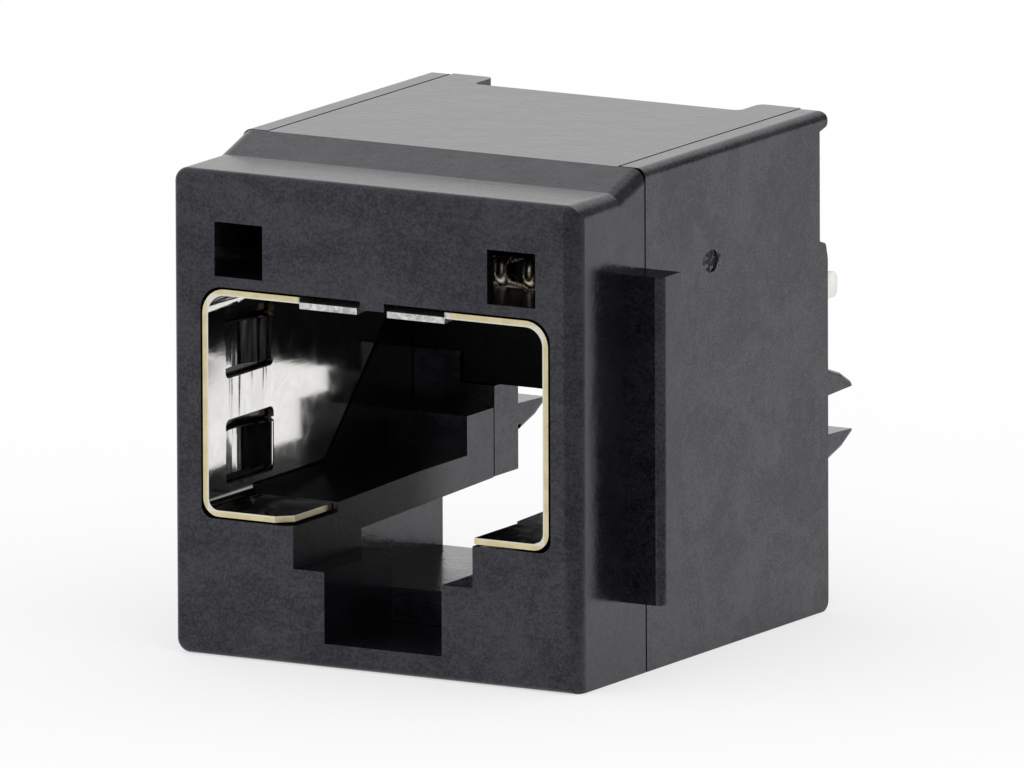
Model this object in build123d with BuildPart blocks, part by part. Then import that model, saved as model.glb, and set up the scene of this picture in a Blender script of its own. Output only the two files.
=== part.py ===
from build123d import *
import os

# RJ45 board jack, standing as in its picture: the plug goes in along +Y, the latch side is down at z = 0,
# and the board side is at the back. The origin is the middle of the footprint, at the bottom.
# "Depth" is always counted from the front face towards the board.

# Overall sizes, in millimetres
body_width = 14.45
body_depth = 15.7
top_height = 15.87
step_drop = 0.53
slope_start = 2.6
block_depth = 4.2
shoulder_round = 0.45
front_round = 0.2
corner_round = 0.5
foot_round = 0.45

# Panel stops on both sides of the front block
rib_reach = 1.3
rib_depth = 1.2
rib_bottom = 2.41
rib_top_drop = 3.12
rib_round = 0.25

# Clearances between pieces
seam_gap = 0.08
sheet_gap = 0.07
insert_gap = 0.03
wire_gap = 0.02
edge_margin = 0.02

# Rear shell
shell_wall = 0.47
shell_floor = 0.75
rim_width = 0.89
rim_height = 0.97
rim_round = 0.32
lip_round = 0.18
heel_round = 0.35
back_relief = 0.5
relief_drop = 0.59
relief_height = 3.6
relief_slope = 0.12
gate_depth = 8.4
gate_height = 12.3
gate_radius = 0.36
gate_recess = 0.05

# Plug opening: room around it in the housing
side_wall = 1.035
opening_top_round = 0.78
opening_bottom_round = 0.4
latch_zone = 4.42
head_height = 4.25

# Shield halves: one folded sheet on each side of the plug
sheet = 0.2
top_bend = 0.8
bottom_bend = 0.55
top_flange_depth = 2.8
bottom_flange_depth = 2.7
tongue_gap = 1.08
tongue_offset = -0.1
tongue_length = 2.06
tongue_drop = 0.16
flange_chamfer = 0.45
wall_setback = 0.13
wall_shoulder = 0.76
wall_toe = 0.6
tail_height = 0.82
tail_drop = 2.12
tail_reach = 2.42
tail_round = 0.25

# Spring tabs in the shield's side walls
tab_window_start = 1.06
tab_window_depth = 2.94
tab_window_height = 2.05
tab_rise = 0.78
tab_fall = 1.02
tab_window_round = 0.22
tab_margin = 0.34
tab_lift = 0.42
tab_dip = 0.05
tab_dip_start = 0.45
tab_ramp_start = 0.95
tab_crest = 2.25
tab_return = 0.25
tab_lap = 0.2
tab_bend = 0.22

# Plug cavity, its stop, and the latch keyway
floor_step = 0.24
floor_rise = 0.13
floor_ramp_end = 7.85
plug_floor = 1.06
stop_setback = 3.27
stop_thickness = 1.65
stop_rise = 1.25
keyway_width = 6.43
keyway_offset = 0.25
keyway_drop = 1.4
pocket_width = 4.21
pocket_floor = 0.76
channel_width = 7.8
channel_base = 1.07
channel_roof_rise = 0.22
channel_setback = 1.58
channel_wall = 0.8
boss_width = 0.86

# Windows above the plug, and the contact chamber behind them
window_size = 1.72
window_inset = 2.34
window_sill = 0.4
front_wall = 1.6

# Top plate
plate_gap = 0.08
plate_thickness = 1.57
plate_foot = 1.455
plate_notch_depth = 1.3
plate_notch_round = 0.25

# Contacts: eight round spring wires
contact_count = 8
contact_pitch = 1.02
wire_diameter = 0.46
bend_front = 3.2
bend_height = 1.1
bend_radius = 0.3
run_drop = 1.3
tip_inset = 0.4
tip_rise = 0.3
jog_inset = 0.8
jog_radius = 0.3
row_drop = 0.76
row_pitch = 2.54
wire_reach = 2.6

# Contact insert
arm_front = 3.7
arm_margin = 0.93
comb_margin = 0.78
comb_length = 4.3
comb_drop = 3.75
insert_back_gap = 0.5
insert_tail_gap = 0.09
insert_pad_gap = 0.06
foot_side_gap = 0.1
slot_clearance = 0.06

# Board locks: flat split pegs with arrow heads, and what carries them
peg_inset = 1.685
peg_drop = 3.65
peg_reach = 3.13
peg_width = 1.52
shank_half = 1.3
barb_half = 1.5
barb_neck_half = 1.2
tip_half = 0.88
barb_round = 0.18
board_thickness = 1.6
barb_length = 0.95
slot_root_half = 0.55
slot_tip_half = 0.68
block_gap = 0.06
block_thickness = 1.48
block_below = 2.01
block_above = 0.87
pad_side = 1.34
pad_back_gap = 0.4
pad_below = 1.55
pad_above = 1.85

# Places that follow from the sizes above: widths
front_y = -(body_depth + peg_reach) / 2
through = body_depth
body_half = body_width / 2
shield_half = body_half - side_wall
sheet_inner_half = shield_half - sheet
pocket_half = shield_half + sheet_gap
cavity_half = sheet_inner_half - sheet_gap
shell_inner_half = body_half - shell_wall
sleeve_half = shell_inner_half - insert_gap
rim_half = body_half - rim_width
plate_half = rim_half - plate_gap
plate_notch_half = plate_half - plate_foot
window_half_pitch = body_half - window_inset
keyway_left = keyway_offset - keyway_width / 2
keyway_right = keyway_offset + keyway_width / 2
latch_left = keyway_offset - pocket_width / 2
latch_right = keyway_offset + pocket_width / 2
boss_left = tongue_offset - boss_width / 2
boss_right = tongue_offset + boss_width / 2
peg_x = body_half - peg_inset
pad_inner = peg_x - pad_side
contacts_half = (contact_count - 1) * contact_pitch / 2
arm_half = contacts_half + arm_margin
comb_half = contacts_half + comb_margin
insert_half = shell_inner_half - insert_gap
tail_slot_half = sheet_inner_half - insert_tail_gap
foot_half = pad_inner - foot_side_gap

# Heights
step_height = top_height - step_drop
rib_top = top_height - rib_top_drop
rim_bottom = top_height - rim_height
relief_top = top_height - relief_drop
relief_bottom = relief_top - relief_height
chamber_height = top_height - plate_thickness
sleeve_bottom = shell_floor + insert_gap
sleeve_top = rim_bottom - insert_gap
shield_bottom = latch_zone
shield_top = top_height - head_height
pocket_bottom = shield_bottom - sheet_gap
pocket_top = shield_top + sheet_gap
tab_window_bottoms = (shield_bottom + tab_rise, shield_top - tab_fall - tab_window_height)
tail_bottom = shield_top - tail_drop
wall_low = shield_bottom + wall_toe
floor_front = shield_bottom + floor_step
floor_back = floor_front + floor_rise
stop_height = floor_back + stop_rise
keyway_ledge = shield_bottom - keyway_drop
channel_floor = sleeve_bottom + channel_base
channel_roof = floor_front - plug_floor
stop_roof = channel_roof + channel_roof_rise
window_bottom = shield_top + window_sill
run_height = chamber_height - run_drop
comb_bottom = run_height - comb_drop
tip_height = comb_bottom + tip_rise
row_high = chamber_height - row_drop
row_low = row_high - row_pitch
peg_height = tail_bottom - peg_drop
block_bottom = peg_height - block_below
block_top = peg_height + block_above
pad_bottom = peg_height - pad_below
pad_top = peg_height + pad_above
insert_step = pad_top + insert_pad_gap
insert_bottom = block_top + block_gap

# Depths
stop_end = body_depth - stop_setback
stop_depth = stop_end - stop_thickness
channel_depth = stop_end - channel_setback
wall_end = stop_end - wall_setback
wall_taper = tail_bottom - wall_low
wall_front_part = wall_end - wall_shoulder - wall_taper
block_start = stop_end + block_gap
block_end = block_start + block_thickness
pad_back = body_depth - pad_back_gap
insert_front = block_start + block_gap
insert_back = body_depth - insert_back_gap
comb_front = insert_back - comb_length
tip_depth = comb_front + tip_inset
jog_depth = insert_back - jog_inset


def across(depth):
    """Plane parallel to the front face: local x is +X, local y is +Z, normal towards the viewer."""
    return Plane(origin=(0, front_y + depth, 0), x_dir=(1, 0, 0), z_dir=(0, -1, 0))


def side_points(points):
    """Depth and height pairs turned into points of the side plane."""
    return [(front_y + depth, height) for depth, height in points]


def side_face(points):
    """Closed outline seen from the side, drawn in the sketch that is open."""
    Polygon(*side_points(points), align=None)


def span(low, high):
    """Middle and length of a stretch."""
    return (low + high) / 2, high - low


def front_rectangle(x_low, x_high, z_low, z_high, mode=Mode.ADD):
    """Rectangle between given limits, drawn in the sketch that is open."""
    x_mid, width = span(x_low, x_high)
    z_mid, height = span(z_low, z_high)
    with Locations((x_mid, z_mid)):
        Rectangle(width, height, mode=mode)


# Front housing: front block with step and slope, sleeve round the plug, and top plate
with BuildPart() as front_housing:
    with BuildSketch(Plane.YZ):
        side_face([
            (0, 0),
            (0, step_height),
            (slope_start, step_height),
            (block_depth, top_height),
            (block_depth, 0),
        ])
    extrude(amount=body_half, both=True)
    shoulders = front_housing.edges().filter_by(
        lambda edge: abs(edge.center().X) > body_half - edge_margin
        and edge.center().Z > step_height - edge_margin
    )
    fillet(shoulders, radius=shoulder_round)
    left_foot = front_housing.edges().filter_by(Axis.Y).group_by(Axis.Z)[0].sort_by(Axis.X)[0]
    fillet(left_foot, radius=foot_round)
    front_face = front_housing.faces().sort_by(Axis.Y)[0]
    fillet(front_face.edges(), radius=front_round)
    with BuildSketch(Plane.XY):
        with Locations((body_half - corner_round, front_y + corner_round)):
            Rectangle(2 * corner_round, 2 * corner_round, align=(Align.MIN, Align.MAX))
            Circle(corner_round, mode=Mode.SUBTRACT)
    extrude(amount=top_height, mode=Mode.SUBTRACT)

    # Panel stops
    with BuildSketch(Plane.XY.offset(rib_bottom)):
        rib_y, rib_length = span(front_y + block_depth - rib_depth, front_y + block_depth)
        with Locations((0, rib_y)):
            Rectangle(body_width + 2 * rib_reach, rib_length)
    extrude(amount=rib_top - rib_bottom)
    rib_tips = front_housing.edges().filter_by(
        lambda edge: abs(edge.center().X) > body_half + rib_reach - edge_margin
    ).filter_by(Axis.Z).group_by(Axis.Y)[0]
    fillet(rib_tips, radius=rib_round)

    # Sleeve that enters the rear shell
    with BuildSketch(Plane.YZ):
        side_face([
            (front_wall, sleeve_bottom),
            (channel_depth, sleeve_bottom),
            (channel_depth, channel_roof),
            (stop_end, channel_roof),
            (stop_end, sleeve_top),
            (front_wall, sleeve_top),
        ])
    extrude(amount=sleeve_half, both=True)

    # Top plate with two feet at the board side
    with BuildSketch(Plane.XY.offset(chamber_height)) as plate:
        plate_y, plate_length = span(front_y + block_depth, front_y + body_depth)
        with Locations((0, plate_y)):
            Rectangle(2 * plate_half, plate_length)
        with Locations((0, front_y + body_depth)):
            Rectangle(2 * plate_notch_half, 2 * plate_notch_depth, mode=Mode.SUBTRACT)
        notch_corners = plate.vertices().filter_by(lambda corner: abs(corner.X) < plate_half - edge_margin)
        fillet(notch_corners, radius=plate_notch_round)
    extrude(amount=top_height - chamber_height)

    # Plug cavity, contact chamber and the plug's stop
    with BuildSketch(Plane.YZ):
        side_face([
            (-front_wall, pocket_bottom),
            (bottom_flange_depth + sheet_gap, pocket_bottom),
            (bottom_flange_depth + sheet_gap, floor_front),
            (floor_ramp_end, floor_back),
            (stop_depth, floor_back),
            (stop_depth, stop_height),
            (through, stop_height),
            (through, chamber_height),
            (front_wall, chamber_height),
            (front_wall, window_bottom),
            (top_flange_depth, window_bottom),
            (top_flange_depth, pocket_top),
            (-front_wall, pocket_top),
        ])
    extrude(amount=cavity_half, both=True, mode=Mode.SUBTRACT)

    # Room for the shield's side walls
    for side in (-1, 1):
        with BuildSketch(Plane.YZ.offset(side * cavity_half)):
            side_face([
                (-front_wall, pocket_bottom),
                (bottom_flange_depth + sheet_gap, pocket_bottom),
                (bottom_flange_depth + sheet_gap, wall_low - sheet_gap),
                (wall_front_part + sheet_gap, wall_low - sheet_gap),
                (wall_front_part + wall_taper + sheet_gap, tail_bottom - sheet_gap),
                (through, tail_bottom - sheet_gap),
                (through, pocket_top),
                (-front_wall, pocket_top),
            ])
        extrude(amount=side * (pocket_half - cavity_half), mode=Mode.SUBTRACT)

    # The opening's corners follow the shield's bends
    for side in (-1, 1):
        for edge, inward, radius, depth in (
            (pocket_top, -1, opening_top_round, top_flange_depth),
            (pocket_bottom, 1, opening_bottom_round, bottom_flange_depth),
        ):
            with BuildSketch(across(0)):
                x_low, x_high = sorted((side * pocket_half, side * (pocket_half - radius)))
                z_low, z_high = sorted((edge, edge + inward * radius))
                front_rectangle(x_low, x_high, z_low, z_high)
                with Locations((side * (pocket_half - radius), edge + inward * radius)):
                    Circle(radius, mode=Mode.SUBTRACT)
            extrude(amount=-depth)

    # Latch channel under the plug floor
    with BuildSketch(Plane.YZ):
        side_face([
            (block_depth, channel_floor),
            (through, channel_floor),
            (through, stop_roof),
            (stop_end, stop_roof),
            (block_depth, channel_roof),
        ])
    extrude(amount=channel_width / 2, both=True, mode=Mode.SUBTRACT)
    with BuildSketch(across(block_depth + channel_wall)):
        for side in (-1, 1):
            inner = channel_width / 2 + channel_wall
            x_low, x_high = sorted((side * inner, side * pocket_half))
            front_rectangle(x_low, x_high, channel_floor, channel_roof)
    extrude(amount=-through, mode=Mode.SUBTRACT)

    # Keyway for the latch, from the front face through the floor and the stop
    with BuildSketch(across(0)):
        front_rectangle(keyway_left, keyway_right, keyway_ledge, stop_height + sheet_gap)
    extrude(amount=-through, mode=Mode.SUBTRACT)
    with BuildSketch(across(0)):
        front_rectangle(latch_left, latch_right, pocket_floor, keyway_ledge + sheet_gap)
    extrude(amount=-block_depth, mode=Mode.SUBTRACT)

    # Boss between the two halves of the shield, and the two windows above the plug
    with BuildSketch(across(0)):
        front_rectangle(boss_left, boss_right, shield_top - sheet, window_bottom)
    extrude(amount=-top_flange_depth)
    with BuildSketch(across(0)):
        with Locations((0, window_bottom + window_size / 2)):
            with GridLocations(2 * window_half_pitch, 0, 2, 1):
                Rectangle(window_size, window_size)
    extrude(amount=-front_wall, mode=Mode.SUBTRACT)

# Rear shell: trough open at the top and the back, with the board locks
peg_outline = [
    (pad_back, shank_half),
    (body_depth + board_thickness, shank_half),
    (body_depth + board_thickness, barb_half),
    (body_depth + board_thickness + barb_length, barb_neck_half),
    (body_depth + peg_reach, tip_half),
]
slot_outline = [(body_depth, slot_root_half), (body_depth + peg_reach, slot_tip_half)]


def mirrored_face(half_outline, mode=Mode.ADD):
    """Side outline that is the same above and below the board lock's middle."""
    above = [(depth, peg_height + height) for depth, height in half_outline]
    below = [(depth, peg_height - height) for depth, height in reversed(half_outline)]
    Polygon(*side_points(above + below), align=None, mode=mode)


with BuildPart() as board_lock:
    with BuildSketch(Plane.YZ):
        mirrored_face(peg_outline)
        mirrored_face(slot_outline, mode=Mode.SUBTRACT)
    extrude(amount=peg_width / 2, both=True)
    barb_edges = board_lock.edges().filter_by(
        lambda edge: abs(edge.center().X) > peg_width / 2 - edge_margin
        and abs(edge.center().Z - peg_height) > tip_half + edge_margin
        and edge.center().Y > front_y + body_depth + board_thickness + edge_margin
    )
    fillet(barb_edges, radius=barb_round)

with BuildPart() as rear_shell:
    with BuildSketch(Plane.YZ) as shell_profile:
        side_face([
            (block_depth + seam_gap, 0),
            (body_depth, 0),
            (body_depth, relief_bottom - back_relief),
            (body_depth - relief_slope, relief_bottom),
            (body_depth - back_relief, relief_bottom + relief_slope),
            (body_depth - back_relief, relief_top),
            (body_depth, relief_top + relief_slope),
            (body_depth, top_height),
            (block_depth + seam_gap, top_height),
        ])
        lip_corners = shell_profile.vertices().filter_by(
            lambda corner: corner.X > front_y + body_depth - relief_slope - edge_margin
            and corner.Y > relief_bottom - edge_margin
        )
        fillet(lip_corners, radius=lip_round)
        heel = shell_profile.vertices().group_by(Axis.Y)[0].sort_by(Axis.X)[-1]
        fillet(heel, radius=heel_round)
    extrude(amount=body_half, both=True)
    with BuildSketch(across(0)) as shell_outline:
        front_rectangle(-body_half, body_half, 0, top_height)
        fillet(shell_outline.vertices().group_by(Axis.Y)[-1], radius=rim_round)
    extrude(amount=-body_depth, mode=Mode.INTERSECT)
    with BuildSketch(across(block_depth)):
        front_rectangle(-shell_inner_half, shell_inner_half, shell_floor, rim_bottom)
        front_rectangle(-rim_half, rim_half, shell_floor, top_height + rim_height)
    extrude(amount=-through, mode=Mode.SUBTRACT)

    # Round mould mark on the right side
    with BuildSketch(Plane.YZ.offset(body_half)):
        with Locations((front_y + gate_depth, gate_height)):
            Circle(gate_radius)
    extrude(amount=-gate_recess, mode=Mode.SUBTRACT)

    # Blocks and pads that carry the board locks
    with BuildSketch(across(block_start)):
        front_rectangle(-shell_inner_half, shell_inner_half, block_bottom, block_top)
        front_rectangle(keyway_left, keyway_right, block_bottom, block_top, mode=Mode.SUBTRACT)
    extrude(amount=block_start - block_end)
    with BuildSketch(across(block_start)):
        front_rectangle(-shell_inner_half, shell_inner_half, pad_bottom, pad_top)
        front_rectangle(-pad_inner, pad_inner, pad_bottom, pad_top, mode=Mode.SUBTRACT)
    extrude(amount=block_start - pad_back)
    for side in (-1, 1):
        add(board_lock.part.moved(Location((side * peg_x, 0, 0))))


# Shield halves
def shield_half_part(side, flange_end, chamfered):
    """One half of the shield, side -1 on the left and 1 on the right, with the end of its bottom flange."""
    middle = shield_half - sheet / 2
    with BuildPart() as half:
        with BuildSketch(across(0)):
            with BuildLine():
                FilletPolyline(
                    (tongue_offset + side * (tongue_gap / 2 + tongue_length), shield_top - sheet / 2),
                    (side * middle, shield_top - sheet / 2),
                    (side * middle, shield_bottom + sheet / 2),
                    (flange_end, shield_bottom + sheet / 2),
                    radius=(top_bend - sheet / 2, bottom_bend - sheet / 2),
                )
            trace(line_width=sheet)
        extrude(amount=-wall_end)

        # Tongue, bent a little towards the plug
        with BuildSketch(Plane.YZ.offset(tongue_offset + side * tongue_gap / 2)):
            side_face([
                (0, shield_top - tongue_drop),
                (0, shield_top - tongue_drop - sheet),
                (top_flange_depth, shield_top - sheet),
                (top_flange_depth, shield_top),
            ])
        extrude(amount=side * tongue_length)

        # Flanges end behind the opening's edge, and the wall tapers to the tail
        with BuildSketch(Plane.YZ):
            side_face([
                (top_flange_depth, shield_top - top_bend),
                (top_flange_depth, shield_top + sheet),
                (through, shield_top + sheet),
                (through, shield_top - top_bend),
            ])
            side_face([
                (bottom_flange_depth, shield_bottom - sheet),
                (bottom_flange_depth, wall_low),
                (wall_front_part, wall_low),
                (wall_front_part + wall_taper, tail_bottom),
                (through, tail_bottom),
                (through, shield_bottom - sheet),
            ])
        extrude(amount=side * body_half, mode=Mode.SUBTRACT)

        # Ground tail through the board
        with BuildSketch(Plane.YZ.offset(side * sheet_inner_half)) as tail:
            side_face([
                (wall_end - tail_height, tail_bottom),
                (body_depth + tail_reach, tail_bottom),
                (body_depth + tail_reach, tail_bottom + tail_height),
                (wall_end - tail_height, tail_bottom + tail_height),
            ])
            fillet(tail.vertices().group_by(Axis.X)[-1], radius=tail_round)
        extrude(amount=side * sheet)

        # Spring tabs
        for bottom in tab_window_bottoms:
            with BuildSketch(Plane.YZ.offset(side * sheet_inner_half)) as tab_window:
                side_face([
                    (tab_window_start, bottom),
                    (tab_window_start + tab_window_depth, bottom),
                    (tab_window_start + tab_window_depth, bottom + tab_window_height),
                    (tab_window_start, bottom + tab_window_height),
                ])
                fillet(tab_window.vertices(), radius=tab_window_round)
            extrude(amount=side * sheet, mode=Mode.SUBTRACT)
            with BuildSketch(Plane.XY.offset(bottom + tab_margin)):
                tab_start = front_y + tab_window_start
                tab_end = tab_start + tab_window_depth
                with BuildLine():
                    FilletPolyline(
                        (side * middle, tab_start - tab_lap),
                        (side * middle, tab_start),
                        (side * (middle + tab_dip), tab_start + tab_dip_start),
                        (side * middle, tab_start + tab_ramp_start),
                        (side * (middle - tab_lift), tab_start + tab_crest),
                        (side * middle, tab_end - tab_return),
                        (side * middle, tab_end + tab_lap),
                        radius=tab_bend,
                    )
                trace(line_width=sheet)
            extrude(amount=tab_window_height - 2 * tab_margin)
        if chamfered:
            corner = half.edges().filter_by(Axis.Z).filter_by(
                lambda edge: edge.center().Z < shield_bottom + sheet
            ).sort_by(Axis.Y)[0]
            chamfer(corner, length=flange_chamfer)
    return half.part


shield_left = shield_half_part(-1, keyway_left - sheet, True)
shield_right = shield_half_part(1, keyway_right + sheet_gap, False)

# Contact insert: arm over the plug, comb for the contacts' ends, and back wall
contact_places = [index * contact_pitch - contacts_half for index in range(contact_count)]
slot_width = wire_diameter + 2 * slot_clearance
wire_bottom = run_height - wire_diameter
insert_top = chamber_height - insert_gap
arm_bottom = run_height - wire_diameter / 2
with BuildPart() as contact_insert:
    with BuildSketch(across(arm_front)):
        front_rectangle(-arm_half, arm_half, arm_bottom, insert_top)
    extrude(amount=arm_front - insert_back)
    with BuildSketch(across(comb_front)):
        front_rectangle(-comb_half, comb_half, comb_bottom, insert_top)
    extrude(amount=comb_front - insert_back)
    with BuildSketch(across(insert_front)):
        front_rectangle(-insert_half, insert_half, insert_step, insert_top)
        front_rectangle(-foot_half, foot_half, insert_bottom, insert_step)
    extrude(amount=insert_front - insert_back)
    with BuildSketch(across(insert_front)):
        tail_low = tail_bottom - insert_tail_gap
        tail_high = tail_bottom + tail_height + insert_tail_gap
        front_rectangle(-through, through, tail_low, tail_high)
        front_rectangle(-tail_slot_half, tail_slot_half, tail_low, tail_high, mode=Mode.SUBTRACT)
    extrude(amount=insert_front - insert_back, mode=Mode.SUBTRACT)
    for place in contact_places:
        with BuildSketch(Plane.YZ.offset(place)):
            side_face([
                (arm_front - front_wall, wire_bottom - wire_gap),
                (arm_front - front_wall, run_height + wire_gap),
                (jog_depth - wire_diameter, run_height + wire_gap),
                (jog_depth - wire_diameter, row_high + slot_width / 2),
                (through, row_high + slot_width / 2),
                (through, row_low - slot_width / 2),
                (jog_depth - wire_diameter, row_low - slot_width / 2),
                (jog_depth - wire_diameter, wire_bottom - wire_gap),
            ])
            side_face([
                (comb_front - front_wall, comb_bottom - wire_gap),
                (comb_front - front_wall, wire_bottom),
                (tip_depth + wire_diameter, wire_bottom),
                (tip_depth + wire_diameter, comb_bottom - wire_gap),
            ])
        extrude(amount=slot_width / 2, both=True, mode=Mode.SUBTRACT)


def contact_part(place, row):
    """One contact: free end in the comb, bend behind the window, run under the arm, and its tail."""
    half_wire = wire_diameter / 2
    bends = [(place, y, z) for y, z in side_points([
        (tip_depth, tip_height),
        (bend_front + half_wire, run_height - bend_height + half_wire),
        (bend_front + half_wire, run_height - half_wire),
        (jog_depth, run_height - half_wire),
        (jog_depth, row),
        (body_depth + wire_reach, row),
    ])]
    with BuildPart() as contact:
        with BuildLine() as route:
            FilletPolyline(*bends, radius=(bend_radius, bend_radius, jog_radius, jog_radius))
        with BuildSketch(Plane(origin=route.line @ 0, z_dir=route.line % 0)):
            Circle(half_wire)
        sweep(path=route.line)
    return contact.part


pieces = {
    "front_housing": front_housing.part,
    "rear_shell": rear_shell.part,
    "contact_insert": contact_insert.part,
    "shield_left": shield_left,
    "shield_right": shield_right,
}
for index, place in enumerate(contact_places):
    row = row_low if index % 2 else row_high
    pieces[f"contact_{index + 1}"] = contact_part(place, row)

os.makedirs("parts", exist_ok=True)
for name, piece in pieces.items():
    piece.label = name
    export_step(piece, f"parts/{name}.step")
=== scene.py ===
import math

import bpy
from mathutils import Matrix, Vector


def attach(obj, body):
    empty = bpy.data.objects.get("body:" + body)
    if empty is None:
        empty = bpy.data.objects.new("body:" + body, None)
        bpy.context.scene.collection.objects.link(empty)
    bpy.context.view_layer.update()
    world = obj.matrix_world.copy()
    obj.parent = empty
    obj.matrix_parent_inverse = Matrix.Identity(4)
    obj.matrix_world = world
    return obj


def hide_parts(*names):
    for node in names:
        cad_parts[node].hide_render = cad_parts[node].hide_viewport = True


MM = 0.001
WHITE = (1.0, 1.0, 1.0, 1.0)

# Camera of the picture: angles in degrees, focal length and target in the picture's pixels,
# sensor width in millimetres, and clipping in metres
PICTURE_WIDTH = 1024
PICTURE_HEIGHT = 768
AZIMUTH = 30.0833
ELEVATION = 10.7773
ROLL = -0.2126
FOCAL_PIXELS = 35836.0
PIXELS_PER_MM = 32.1
TARGET = Vector((0.0, -1.415, 7.7)) * MM
TARGET_PIXEL = (504.4775, 387.3384)
SENSOR = 36.0
CLIP_START = 0.01
CLIP_END = 10.0

# Floor: half its width in metres, how far it lies below the part in millimetres, its colours,
# and the share of plain white that a look at it gets
FLOOR_HALF = 2.0
FLOOR_DROP = 0.02
PAPER = ((0.985, 0.985, 0.985, 1.0), WHITE)
FLOOR_GLOW = 0.6

# Grey part of the studio, which only reflections see: on the floor at the front right, in millimetres
# along a direction, and above the horizon on the right, as the rightward part of a direction
GREY_START = 9.0
GREY_END = 26.0
GREY_DIRECTION = (0.866, -0.5)
GREY_RIGHT = (0.12, 0.42)
GREY_LEVEL = 0.30

# Shield halves: places that their material knows, in millimetres
SHEET_WALL = 5.95
TONGUE_REACH = 2.75
TONGUE_LEVEL = 10.0
FLANGE_LEVEL = 4.75
FLANGE_REACH = 5.0
OPENING_MIDDLE = 8.02
OPENING_HALF_WIDTH = 5.99
OPENING_HALF_HEIGHT = 3.4
TAB_WALL = 5.3
TAB_MIDDLE = -6.9
TAB_HALF_LENGTH = 1.25
TAB_HALF_HEIGHT = 2.9

# Shield halves: colours, roughness where the sheet is cut or torn, heights of its marks in millimetres,
# and where the plating is smeared over the cut edge, in millimetres into the sheet
PLATING = ((0.74, 0.73, 0.70, 1.0), (0.86, 0.85, 0.825, 1.0))
PLATING_ROUGHNESS = (0.07, 0.13)
ALLOY = ((0.60, 0.53, 0.31, 1.0), (0.68, 0.61, 0.38, 1.0))
TORN = ((0.36, 0.35, 0.34, 1.0), (0.78, 0.77, 0.76, 1.0))
CUT_ROUGHNESS = 0.22
ROLLED_HEIGHT = 0.001
CUT_HEIGHT = 0.02
TORN_HEIGHT = 0.03
PRESSED_HEIGHT = 0.05
SMEARED = (0.72, 0.68, 0.60, 1.0)
SMEAR_REACH = (0.05, 0.10)
SMEAR_WAVE = 0.06

# Contact wires: colours, roughness, and height of the drawing marks in millimetres
WIRE = ((0.68, 0.58, 0.44, 1.0), (0.86, 0.80, 0.70, 1.0))
WIRE_ROUGHNESS = (0.24, 0.34)
DRAWN_HEIGHT = 0.0006

# Black plastic: tint, and what a piece's level is multiplied by where its pattern is dark, where it's bright,
# in specks, and in pits as painted shade
BLACK_TINT = (0.97, 0.98, 1.30)
SHADE_DARK = 0.3
SHADE_BRIGHT = 1.7
SHADE_SPECK = 4.0
PIT_PAINTED_SHADE = 0.05

# Black plastic: specular tints of the painted shade on the keyway's walls, where its sheen is low and where
# it's bright, index of refraction, what the pattern, the pits and the keyway's walls add to its roughness,
# and heights of grain and mark in millimetres
PAINTED_SHADE_SHEEN = (0.0, 0.0, 0.0, 1.0)
SHEEN_LOW = (0.46, 0.465, 0.54, 1.0)
SHEEN_HIGH = (0.91, 0.915, 1.0, 1.0)
PLASTIC_IOR = 1.63
FLOW_ROUGHNESS = 0.08
PIT_ROUGHNESS = 0.5
KEYWAY_ROUGHNESS = 0.3
GRAIN_HEIGHT = 0.008
GATE_MARK_HEIGHT = 0.02

# Black plastic: shares of its pattern, and the noise above which it has a speck
CLOUD_SHARE = 0.30
THREAD_SHARE = 0.12
FIBRE_SHARE = 0.30
GRAIN_SHARE = 0.36
SPECK_LIMIT = 0.76
SPECK_STRENGTH = 0.5

# Keyway in the front housing: its side walls, the levels where they get painted shade, and where that fades
# toward the back, in millimetres
KEYWAY_WALLS = (-2.965, 3.465)
KEYWAY_MARGIN = 0.05
KEYWAY_LEVELS = (3.0, 5.9)
KEYWAY_FADE = (-2.6, 1.6)

# Inspection windows in the front housing: their inner edges and heights, the back of the wall there,
# and where its edge is cut back to, in millimetres
WINDOW_EDGE = 4.025
WINDOW_HEIGHTS = (12.0, 13.8)
WALL_BACK = -7.815
WALL_CUT_BACK = -9.015
CLOSE = 0.01

# Mark of the broken-off gate on the rear shell's right wall: its place, its reach and how far the ragged edge
# may fall short of that, in millimetres, and its height by its width
GATE_MARK = (7.0, -1.015, 12.3)
GATE_MARK_RADIUS = 0.54
GATE_MARK_RAGGED = 0.35
GATE_MARK_SLIMNESS = 0.6

# Part of a normal along an axis: above FACING the face looks that way, and below ASIDE it looks aside
FACING = 0.9
ASIDE = 0.5

CONTACTS = [f"contact_{number}" for number in range(1, 9)]


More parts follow.
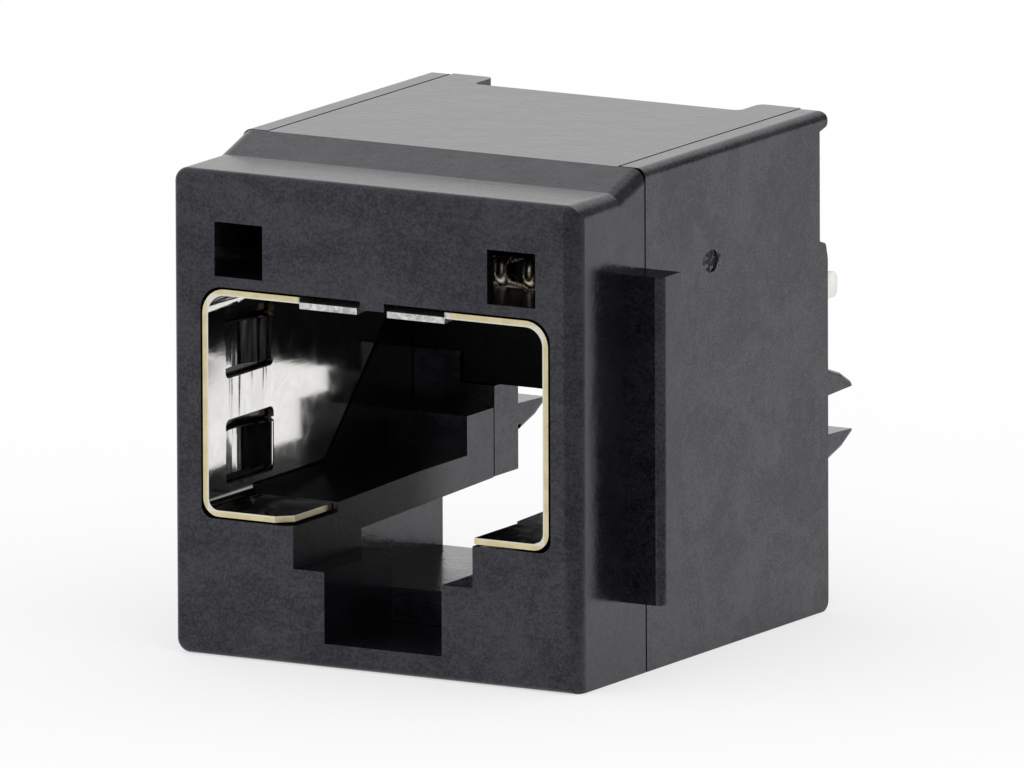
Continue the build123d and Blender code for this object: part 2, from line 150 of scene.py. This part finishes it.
class Nodes:
    """Short calls for making a material's nodes."""

    def __init__(self, name):
        self.material = bpy.data.materials.new(name)
        self.material.use_nodes = True
        self.tree = self.material.node_tree
        self.shader = next(n for n in self.tree.nodes if n.type == "BSDF_PRINCIPLED")
        texture = self.tree.nodes.new("ShaderNodeTexCoord")
        self.place = texture.outputs["Object"]
        self.normal = texture.outputs["Normal"]

    def add(self, kind, settings=None, **inputs):
        node = self.tree.nodes.new(kind)
        for key, value in (settings or {}).items():
            setattr(node, key, value)
        for key, value in inputs.items():
            self.feed(node.inputs[key.replace("_", " ")], value)
        return node

    def feed(self, socket, value):
        if isinstance(value, bpy.types.NodeSocket):
            self.tree.links.new(value, socket)
        else:
            socket.default_value = value

    def set(self, **inputs):
        """Feed the shader's own sockets."""
        for key, value in inputs.items():
            self.feed(self.shader.inputs[key.replace("_", " ")], value)

    def math(self, operation, first, second=0.0, third=0.0):
        node = self.tree.nodes.new("ShaderNodeMath")
        node.operation = operation
        for socket, value in zip(node.inputs, (first, second, third)):
            self.feed(socket, value)
        return node.outputs[0]

    def axes(self, vector):
        """The three numbers of a vector."""
        parts = self.add("ShaderNodeSeparateXYZ", Vector=vector)
        return [parts.outputs[axis] for axis in "XYZ"]

    def above(self, value, limit):
        return self.math("GREATER_THAN", value, limit)

    def below(self, value, limit):
        return self.math("LESS_THAN", value, limit)

    def size_of(self, value):
        return self.math("ABSOLUTE", value)

    def off(self, value, middle_mm):
        """How far a place is from a middle, either way."""
        return self.size_of(self.math("SUBTRACT", value, middle_mm * MM))

    def near(self, value, middle_mm, reach_mm):
        """1 where a place is less than a reach from a middle."""
        return self.below(self.off(value, middle_mm), reach_mm * MM)

    def both(self, first, *others):
        for other in others:
            first = self.math("MULTIPLY", first, other)
        return first

    def either(self, first, *others):
        for other in others:
            first = self.math("MAXIMUM", first, other)
        return first

    def noise(self, per_mm, detail=3.0, roughness=0.55, distortion=0.0, stretch=(1.0, 1.0, 1.0)):
        scaled = self.add("ShaderNodeMapping", {"vector_type": "POINT"}, Vector=self.place, Scale=stretch)
        node = self.add(
            "ShaderNodeTexNoise",
            Vector=scaled.outputs[0],
            Scale=per_mm / MM,
            Detail=detail,
            Roughness=roughness,
            Distortion=distortion,
        )
        return node.outputs["Fac"]

    def spread(self, value, low, high, to_low=0.0, to_high=1.0):
        node = self.add("ShaderNodeMapRange", {"interpolation_type": "SMOOTHSTEP"})
        names = ("Value", "From Min", "From Max", "To Min", "To Max")
        for name, number in zip(names, (value, low, high, to_low, to_high)):
            self.feed(node.inputs[name], number)
        return node.outputs["Result"]

    def threads(self, per_mm, width, distortion, stretch):
        """Thin curling threads: 1 on a thread and 0 away from it."""
        wave = self.noise(per_mm, detail=3.0, roughness=0.5, distortion=distortion, stretch=stretch)
        away = self.size_of(self.math("SUBTRACT", wave, 0.5))
        return self.spread(away, 0.0, width, to_low=1.0, to_high=0.0)

    def blend(self, factor, first, second):
        node = self.tree.nodes.new("ShaderNodeMix")
        node.data_type = "RGBA"
        self.feed(node.inputs["Factor"], factor)
        self.feed(node.inputs["A"], first)
        self.feed(node.inputs["B"], second)
        return node.outputs["Result"]

    def bump(self, height, distance_mm, onto=None):
        node = self.add("ShaderNodeBump", Height=height, Distance=distance_mm * MM, Strength=1.0)
        if onto is not None:
            self.feed(node.inputs["Normal"], onto)
        return node.outputs["Normal"]


def charcoal(level):
    """Near-black with a little blue in it."""
    return tuple(level * part for part in BLACK_TINT) + (1.0,)


def flow_pattern(n, turn, fibres, spread):
    """Clouds, curling threads, fibres and grain of glass-filled plastic together, from 0 to 1."""
    clouds = n.noise(0.30, detail=3.0, roughness=0.6, distortion=1.0, stretch=(1.0, 0.8 + turn, 1.2))
    threads = n.threads(1.3, width=0.05, distortion=2.2, stretch=(1.0, 0.9, 0.7 + turn))
    grain = n.noise(13.0, detail=2.0, roughness=0.6)
    flow = n.math("MULTIPLY", threads, THREAD_SHARE)
    flow = n.math("MULTIPLY_ADD", n.spread(clouds, 0.3, 0.7), CLOUD_SHARE, flow)
    flow = n.math("MULTIPLY_ADD", n.spread(fibres, 0.3, 0.7), FIBRE_SHARE, flow)
    flow = n.math("MULTIPLY_ADD", n.spread(grain, 0.35, 0.65), GRAIN_SHARE, flow)
    return n.spread(flow, 0.5 - spread, 0.5 + spread)


def gate_mark(n):
    """The pits in the broken-off gate's ragged patch, and the raised crumbs between them."""
    x, y, z = n.axes(n.place)
    across = n.math("SUBTRACT", y, GATE_MARK[1] * MM)
    across = n.math("POWER", n.math("MULTIPLY", across, GATE_MARK_SLIMNESS), 2.0)
    along = n.math("POWER", n.math("SUBTRACT", z, GATE_MARK[2] * MM), 2.0)
    reach = n.math("SQRT", n.math("ADD", across, along))
    crumbs = n.noise(4.2, detail=2.0, roughness=0.5, distortion=0.3)
    ragged = n.math("MULTIPLY_ADD", crumbs, GATE_MARK_RAGGED * MM, reach)
    patch = n.both(n.below(ragged, GATE_MARK_RADIUS * MM), n.above(x, GATE_MARK[0] * MM))
    pits = n.both(patch, n.spread(crumbs, 0.46, 0.54))
    raised = n.both(patch, n.spread(crumbs, 0.42, 0.60, to_low=1.0, to_high=0.0))
    return pits, raised


def keyway_painted_shade(n):
    """Painted shade: 1 on the keyway's side walls between their levels, fading toward the back."""
    x, y, z = n.axes(n.place)
    walls = [n.near(x, wall, KEYWAY_MARGIN) for wall in KEYWAY_WALLS]
    levels = [n.above(z, KEYWAY_LEVELS[0] * MM), n.below(z, KEYWAY_LEVELS[1] * MM)]
    sideways = n.above(n.size_of(n.axes(n.normal)[0]), FACING)
    fade = n.spread(y, KEYWAY_FADE[0] * MM, KEYWAY_FADE[1] * MM, to_low=1.0, to_high=0.0)
    return n.both(n.either(*walls), *levels, sideways, fade)


def moulded_plastic(
    name, level, turn, marked=False, keyed=False, gloss=0.5, rough_from=0.13, fibre_scale=2.6, spread=0.42
):
    """Glass-filled black plastic, with its flow pattern in its colour and still more in its sheen.

    A marked piece has the gate's mark, with painted shade in its pits, and a keyed one has painted shade
    on the keyway's walls, which are also rougher.
    """
    n = Nodes(name)
    bent = (0.55 + turn, 1.0, 1.3 - turn)
    fibres = n.noise(fibre_scale, detail=5.0, roughness=0.75, distortion=1.4, stretch=bent)
    flow = flow_pattern(n, turn, fibres, spread)
    colour = n.blend(flow, charcoal(level * SHADE_DARK), charcoal(level * SHADE_BRIGHT))
    specks = n.above(n.noise(9.0, detail=1.0, roughness=0.4), SPECK_LIMIT)
    colour = n.blend(n.math("MULTIPLY", specks, SPECK_STRENGTH), colour, charcoal(level * SHADE_SPECK))
    sheen = n.blend(flow, SHEEN_LOW, SHEEN_HIGH)
    rough = n.math("MULTIPLY_ADD", flow, FLOW_ROUGHNESS, rough_from)
    fine = n.noise(6.0, detail=3.0, roughness=0.65, distortion=0.2)
    upward = n.spread(n.axes(n.normal)[2], 0.1, 0.5, to_low=0.45, to_high=1.0)
    relief = n.bump(n.both(fine, upward), GRAIN_HEIGHT)
    relief = n.bump(n.noise(0.9, detail=1.0, roughness=0.5, distortion=0.2), GRAIN_HEIGHT, relief)
    if marked:
        pits, raised = gate_mark(n)
        # Painted shade: the pits of the gate's mark are darkened; they are also rougher.
        colour = n.blend(pits, colour, charcoal(level * PIT_PAINTED_SHADE))
        rough = n.math("MULTIPLY_ADD", pits, PIT_ROUGHNESS, rough)
        relief = n.bump(raised, GATE_MARK_HEIGHT, relief)
    if keyed:
        # Painted shade on the keyway's walls: their specular tint goes toward black; they are also rougher.
        keyway_shade = keyway_painted_shade(n)
        sheen = n.blend(n.both(keyway_shade, n.spread(fibres, 0.3, 0.7, to_low=0.95, to_high=0.5)), sheen, PAINTED_SHADE_SHEEN)
        rough = n.math("MULTIPLY_ADD", keyway_shade, KEYWAY_ROUGHNESS, rough)
    n.set(Base_Color=colour, Specular_Tint=sheen, Roughness=rough, Normal=relief)
    n.set(IOR=PLASTIC_IOR, Specular_IOR_Level=gloss)
    return n.material


def cut_edges(n):
    """The shield's edges with bare alloy, its tongues, and the tongues' torn ends."""
    x, _, z = n.axes(n.place)
    _, facing_y, facing_z = (n.size_of(part) for part in n.axes(n.normal))
    outward = n.size_of(x)
    front_ends = n.above(facing_y, FACING)
    window_edges = n.both(
        n.above(outward, SHEET_WALL * MM),
        n.near(z, OPENING_MIDDLE, TAB_HALF_HEIGHT),
        n.above(facing_z, FACING),
    )
    flange_ends = n.both(
        n.below(outward, FLANGE_REACH * MM),
        n.below(z, FLANGE_LEVEL * MM),
        n.below(facing_z, ASIDE),
    )
    tongues = n.both(n.below(outward, TONGUE_REACH * MM), n.above(z, TONGUE_LEVEL * MM))
    bare = n.both(n.either(front_ends, window_edges, flange_ends), n.math("SUBTRACT", 1.0, tongues))
    return bare, tongues, n.both(tongues, front_ends)


def cut_alloy(n):
    """The colour of a bare edge: alloy, with the plating smeared over the outer part of the sheet."""
    x, _, z = n.axes(n.place)
    alloy = n.blend(n.spread(n.noise(2.0), 0.35, 0.65), *ALLOY)
    into_sheet = n.either(
        n.math("SUBTRACT", n.size_of(x), OPENING_HALF_WIDTH * MM),
        n.math("SUBTRACT", n.off(z, OPENING_MIDDLE), OPENING_HALF_HEIGHT * MM),
    )
    into_sheet = n.math("MULTIPLY_ADD", n.noise(1.5), SMEAR_WAVE * MM, into_sheet)
    return n.blend(n.spread(into_sheet, SMEAR_REACH[0] * MM, SMEAR_REACH[1] * MM), SMEARED, alloy)


def plated_sheet(name):
    """Nickel plated spring sheet with the bare alloy on its sheared edges, and dents on its contact tabs."""
    n = Nodes(name)
    bare, tongues, torn_ends = cut_edges(n)
    drift = n.noise(1.2, detail=3.0, roughness=0.55, distortion=0.8)
    plating = n.blend(n.spread(drift, 0.35, 0.7), *PLATING)
    streaks = n.noise(3.5, detail=3.0, roughness=0.7, distortion=0.5)
    torn = n.blend(n.spread(streaks, 0.3, 0.7), *TORN)
    colour = n.blend(torn_ends, n.blend(bare, plating, cut_alloy(n)), torn)
    worked = n.either(bare, tongues)
    rough = n.math("MULTIPLY_ADD", worked, CUT_ROUGHNESS, n.spread(drift, 0.3, 0.7, *PLATING_ROUGHNESS))
    x, y, z = n.axes(n.place)
    tabs = n.both(
        n.above(n.size_of(x), TAB_WALL * MM),
        n.near(y, TAB_MIDDLE, TAB_HALF_LENGTH),
        n.near(z, OPENING_MIDDLE, TAB_HALF_HEIGHT),
    )
    rolled = n.noise(6.0, detail=3.0, roughness=0.6, distortion=0.2, stretch=(1.0, 0.12, 1.0))
    crumple = n.noise(2.5, detail=4.0, roughness=0.7, distortion=0.5)
    pressed = n.noise(1.6, detail=2.0, roughness=0.5, stretch=(1.0, 1.0, 0.10))
    ragged = n.noise(5.0, detail=3.0, roughness=0.7, distortion=0.4)
    relief = n.bump(rolled, ROLLED_HEIGHT)
    relief = n.bump(n.both(crumple, worked), CUT_HEIGHT, relief)
    relief = n.bump(n.both(pressed, tabs), PRESSED_HEIGHT, relief)
    relief = n.bump(n.both(ragged, torn_ends), TORN_HEIGHT, relief)
    n.set(Base_Color=colour, Metallic=1.0, Roughness=rough, Normal=relief)
    return n.material


def spring_wire(name):
    """Polished plated contact wire."""
    n = Nodes(name)
    drift = n.noise(2.0, detail=3.0, roughness=0.5, distortion=0.4)
    tone = n.blend(n.spread(drift, 0.35, 0.7), *WIRE)
    drawn = n.noise(12.0, detail=2.0, roughness=0.5, distortion=0.1, stretch=(1.0, 0.08, 0.2))
    rough = n.spread(drift, 0.3, 0.7, *WIRE_ROUGHNESS)
    n.set(Base_Color=tone, Metallic=1.0, Roughness=rough, Normal=n.bump(drawn, DRAWN_HEIGHT))
    return n.material


def paper(name):
    """White floor that is mostly shown as plain white, with a grey part that only reflections see."""
    n = Nodes(name)
    n.set(Base_Color=n.blend(n.spread(n.noise(0.02), 0.3, 0.7), *PAPER))
    n.set(Roughness=0.9, Specular_IOR_Level=0.0)
    path = n.add("ShaderNodeLightPath").outputs
    seen = n.either(path["Is Camera Ray"], path["Is Glossy Ray"], path["Is Transmission Ray"])
    x, y, _ = n.axes(n.place)
    front_right = n.math("MULTIPLY_ADD", x, GREY_DIRECTION[0], n.math("MULTIPLY", y, GREY_DIRECTION[1]))
    grey = n.both(n.spread(front_right, GREY_START * MM, GREY_END * MM), path["Is Glossy Ray"])
    brightness = n.math("MULTIPLY_ADD", grey, GREY_LEVEL - 1.0, 1.0)
    glow = n.add("ShaderNodeEmission", Color=WHITE, Strength=brightness)
    mix = n.add("ShaderNodeMixShader", Fac=n.math("MULTIPLY", seen, FLOOR_GLOW))
    n.feed(mix.inputs[1], n.shader.outputs[0])
    n.feed(mix.inputs[2], glow.outputs[0])
    surface = next(node for node in n.tree.nodes if node.type == "OUTPUT_MATERIAL").inputs["Surface"]
    n.feed(surface, mix.outputs[0])
    return n.material


def make_floor():
    corners = [(x * FLOOR_HALF, y * FLOOR_HALF, 0) for x, y in ((-1, -1), (1, -1), (1, 1), (-1, 1))]
    mesh = bpy.data.meshes.new("floor")
    mesh.from_pydata(corners, [], [(0, 1, 2, 3)])
    floor = bpy.data.objects.new("floor", mesh)
    bpy.context.scene.collection.objects.link(floor)
    floor.location.z = -FLOOR_DROP * MM
    mesh.materials.append(paper("floor_paper"))


def make_world():
    """White surroundings, with grey on the right that only reflections see."""
    world = bpy.data.worlds.new("studio")
    bpy.context.scene.world = world
    world.use_nodes = True
    tree = world.node_tree
    background = next(n for n in tree.nodes if n.type == "BACKGROUND")
    parts = tree.nodes.new("ShaderNodeSeparateXYZ")
    tree.links.new(tree.nodes.new("ShaderNodeTexCoord").outputs["Generated"], parts.inputs[0])
    grey = tree.nodes.new("ShaderNodeMapRange")
    grey.interpolation_type = "SMOOTHSTEP"
    grey.inputs["From Min"].default_value, grey.inputs["From Max"].default_value = GREY_RIGHT
    tree.links.new(parts.outputs["X"], grey.inputs["Value"])
    reflected = tree.nodes.new("ShaderNodeMath")
    reflected.operation = "MULTIPLY"
    tree.links.new(grey.outputs["Result"], reflected.inputs[0])
    tree.links.new(tree.nodes.new("ShaderNodeLightPath").outputs["Is Glossy Ray"], reflected.inputs[1])
    tone = tree.nodes.new("ShaderNodeMix")
    tone.data_type = "RGBA"
    tree.links.new(reflected.outputs[0], tone.inputs["Factor"])
    tone.inputs["A"].default_value = WHITE
    tone.inputs["B"].default_value = (GREY_LEVEL, GREY_LEVEL, GREY_LEVEL, 1.0)
    tree.links.new(tone.outputs["Result"], background.inputs["Color"])
    background.inputs["Strength"].default_value = 1.0


def make_camera():
    a, e, r = (math.radians(angle) for angle in (AZIMUTH, ELEVATION, ROLL))
    right = Vector((math.cos(a), math.sin(a), 0))
    forward = Vector((-math.sin(a) * math.cos(e), math.cos(a) * math.cos(e), -math.sin(e)))
    up = right.cross(forward)
    right, up = right * math.cos(r) + up * math.sin(r), up * math.cos(r) - right * math.sin(r)
    data = bpy.data.cameras.new("camera")
    data.sensor_width = SENSOR
    data.lens = FOCAL_PIXELS / PICTURE_WIDTH * SENSOR
    data.shift_x = (PICTURE_WIDTH / 2 - TARGET_PIXEL[0]) / PICTURE_WIDTH
    data.shift_y = (TARGET_PIXEL[1] - PICTURE_HEIGHT / 2) / PICTURE_WIDTH
    data.clip_start = CLIP_START
    data.clip_end = CLIP_END
    camera = bpy.data.objects.new("camera", data)
    bpy.context.scene.collection.objects.link(camera)
    place = TARGET - forward * (FOCAL_PIXELS / PIXELS_PER_MM * MM)
    turn = Matrix((right, up, -forward)).transposed()
    camera.matrix_world = Matrix.Translation(place) @ turn.to_4x4()
    bpy.context.scene.camera = camera


def dress(frame, node, material):
    mesh = frame["nodes"][node].data
    mesh.materials.clear()
    mesh.materials.append(material)


def opened_housing(frame, material):
    """The front housing's look: the wall's back edge beside each window is cut back.

    A second contact then shows in the right window.
    """
    mesh = frame["nodes"]["front_housing"].data.copy()
    mesh.name = "front_housing_look"
    for vertex in mesh.vertices:
        x, y, z = vertex.co / MM
        at_edge = abs(abs(x) - WINDOW_EDGE) < CLOSE and abs(y - WALL_BACK) < CLOSE
        if at_edge and WINDOW_HEIGHTS[0] < z < WINDOW_HEIGHTS[1]:
            vertex.co.y = WALL_CUT_BACK * MM
    mesh.update()
    piece = bpy.data.objects.new("front_housing_look", mesh)
    bpy.context.scene.collection.objects.link(piece)
    mesh.materials.clear()
    mesh.materials.append(material)
    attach(piece, "root")
    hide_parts("front_housing")


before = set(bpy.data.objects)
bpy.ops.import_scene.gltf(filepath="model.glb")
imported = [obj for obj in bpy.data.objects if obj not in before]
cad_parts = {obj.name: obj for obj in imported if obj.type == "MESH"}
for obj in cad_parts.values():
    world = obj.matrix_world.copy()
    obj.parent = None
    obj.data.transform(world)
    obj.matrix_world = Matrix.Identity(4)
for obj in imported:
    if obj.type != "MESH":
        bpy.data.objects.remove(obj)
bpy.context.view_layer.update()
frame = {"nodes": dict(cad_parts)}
bpy.context.scene.view_settings.view_transform = "Standard"
make_camera()
make_world()
make_floor()

# The housing's plastic has painted shade on the keyway's walls.
housing_plastic = moulded_plastic("housing_plastic", 0.0055, 0.0, keyed=True)
shell_plastic = moulded_plastic("shell_plastic", 0.0055, 0.25, marked=True, fibre_scale=1.9, spread=0.22)
# The insert's plastic is rougher and less glossy, and its lower level is painted shade for the piece deep in
# the cavity.
insert_plastic = moulded_plastic("insert_plastic", 0.0012, 0.1, gloss=0.12, rough_from=0.45)
opened_housing(frame, housing_plastic)
dress(frame, "rear_shell", shell_plastic)
dress(frame, "contact_insert", insert_plastic)
sheet_metal = plated_sheet("shield_plating")
for name in ("shield_left", "shield_right"):
    dress(frame, name, sheet_metal)
wire = spring_wire("contact_metal")
for name in CONTACTS:
    dress(frame, name, wire)
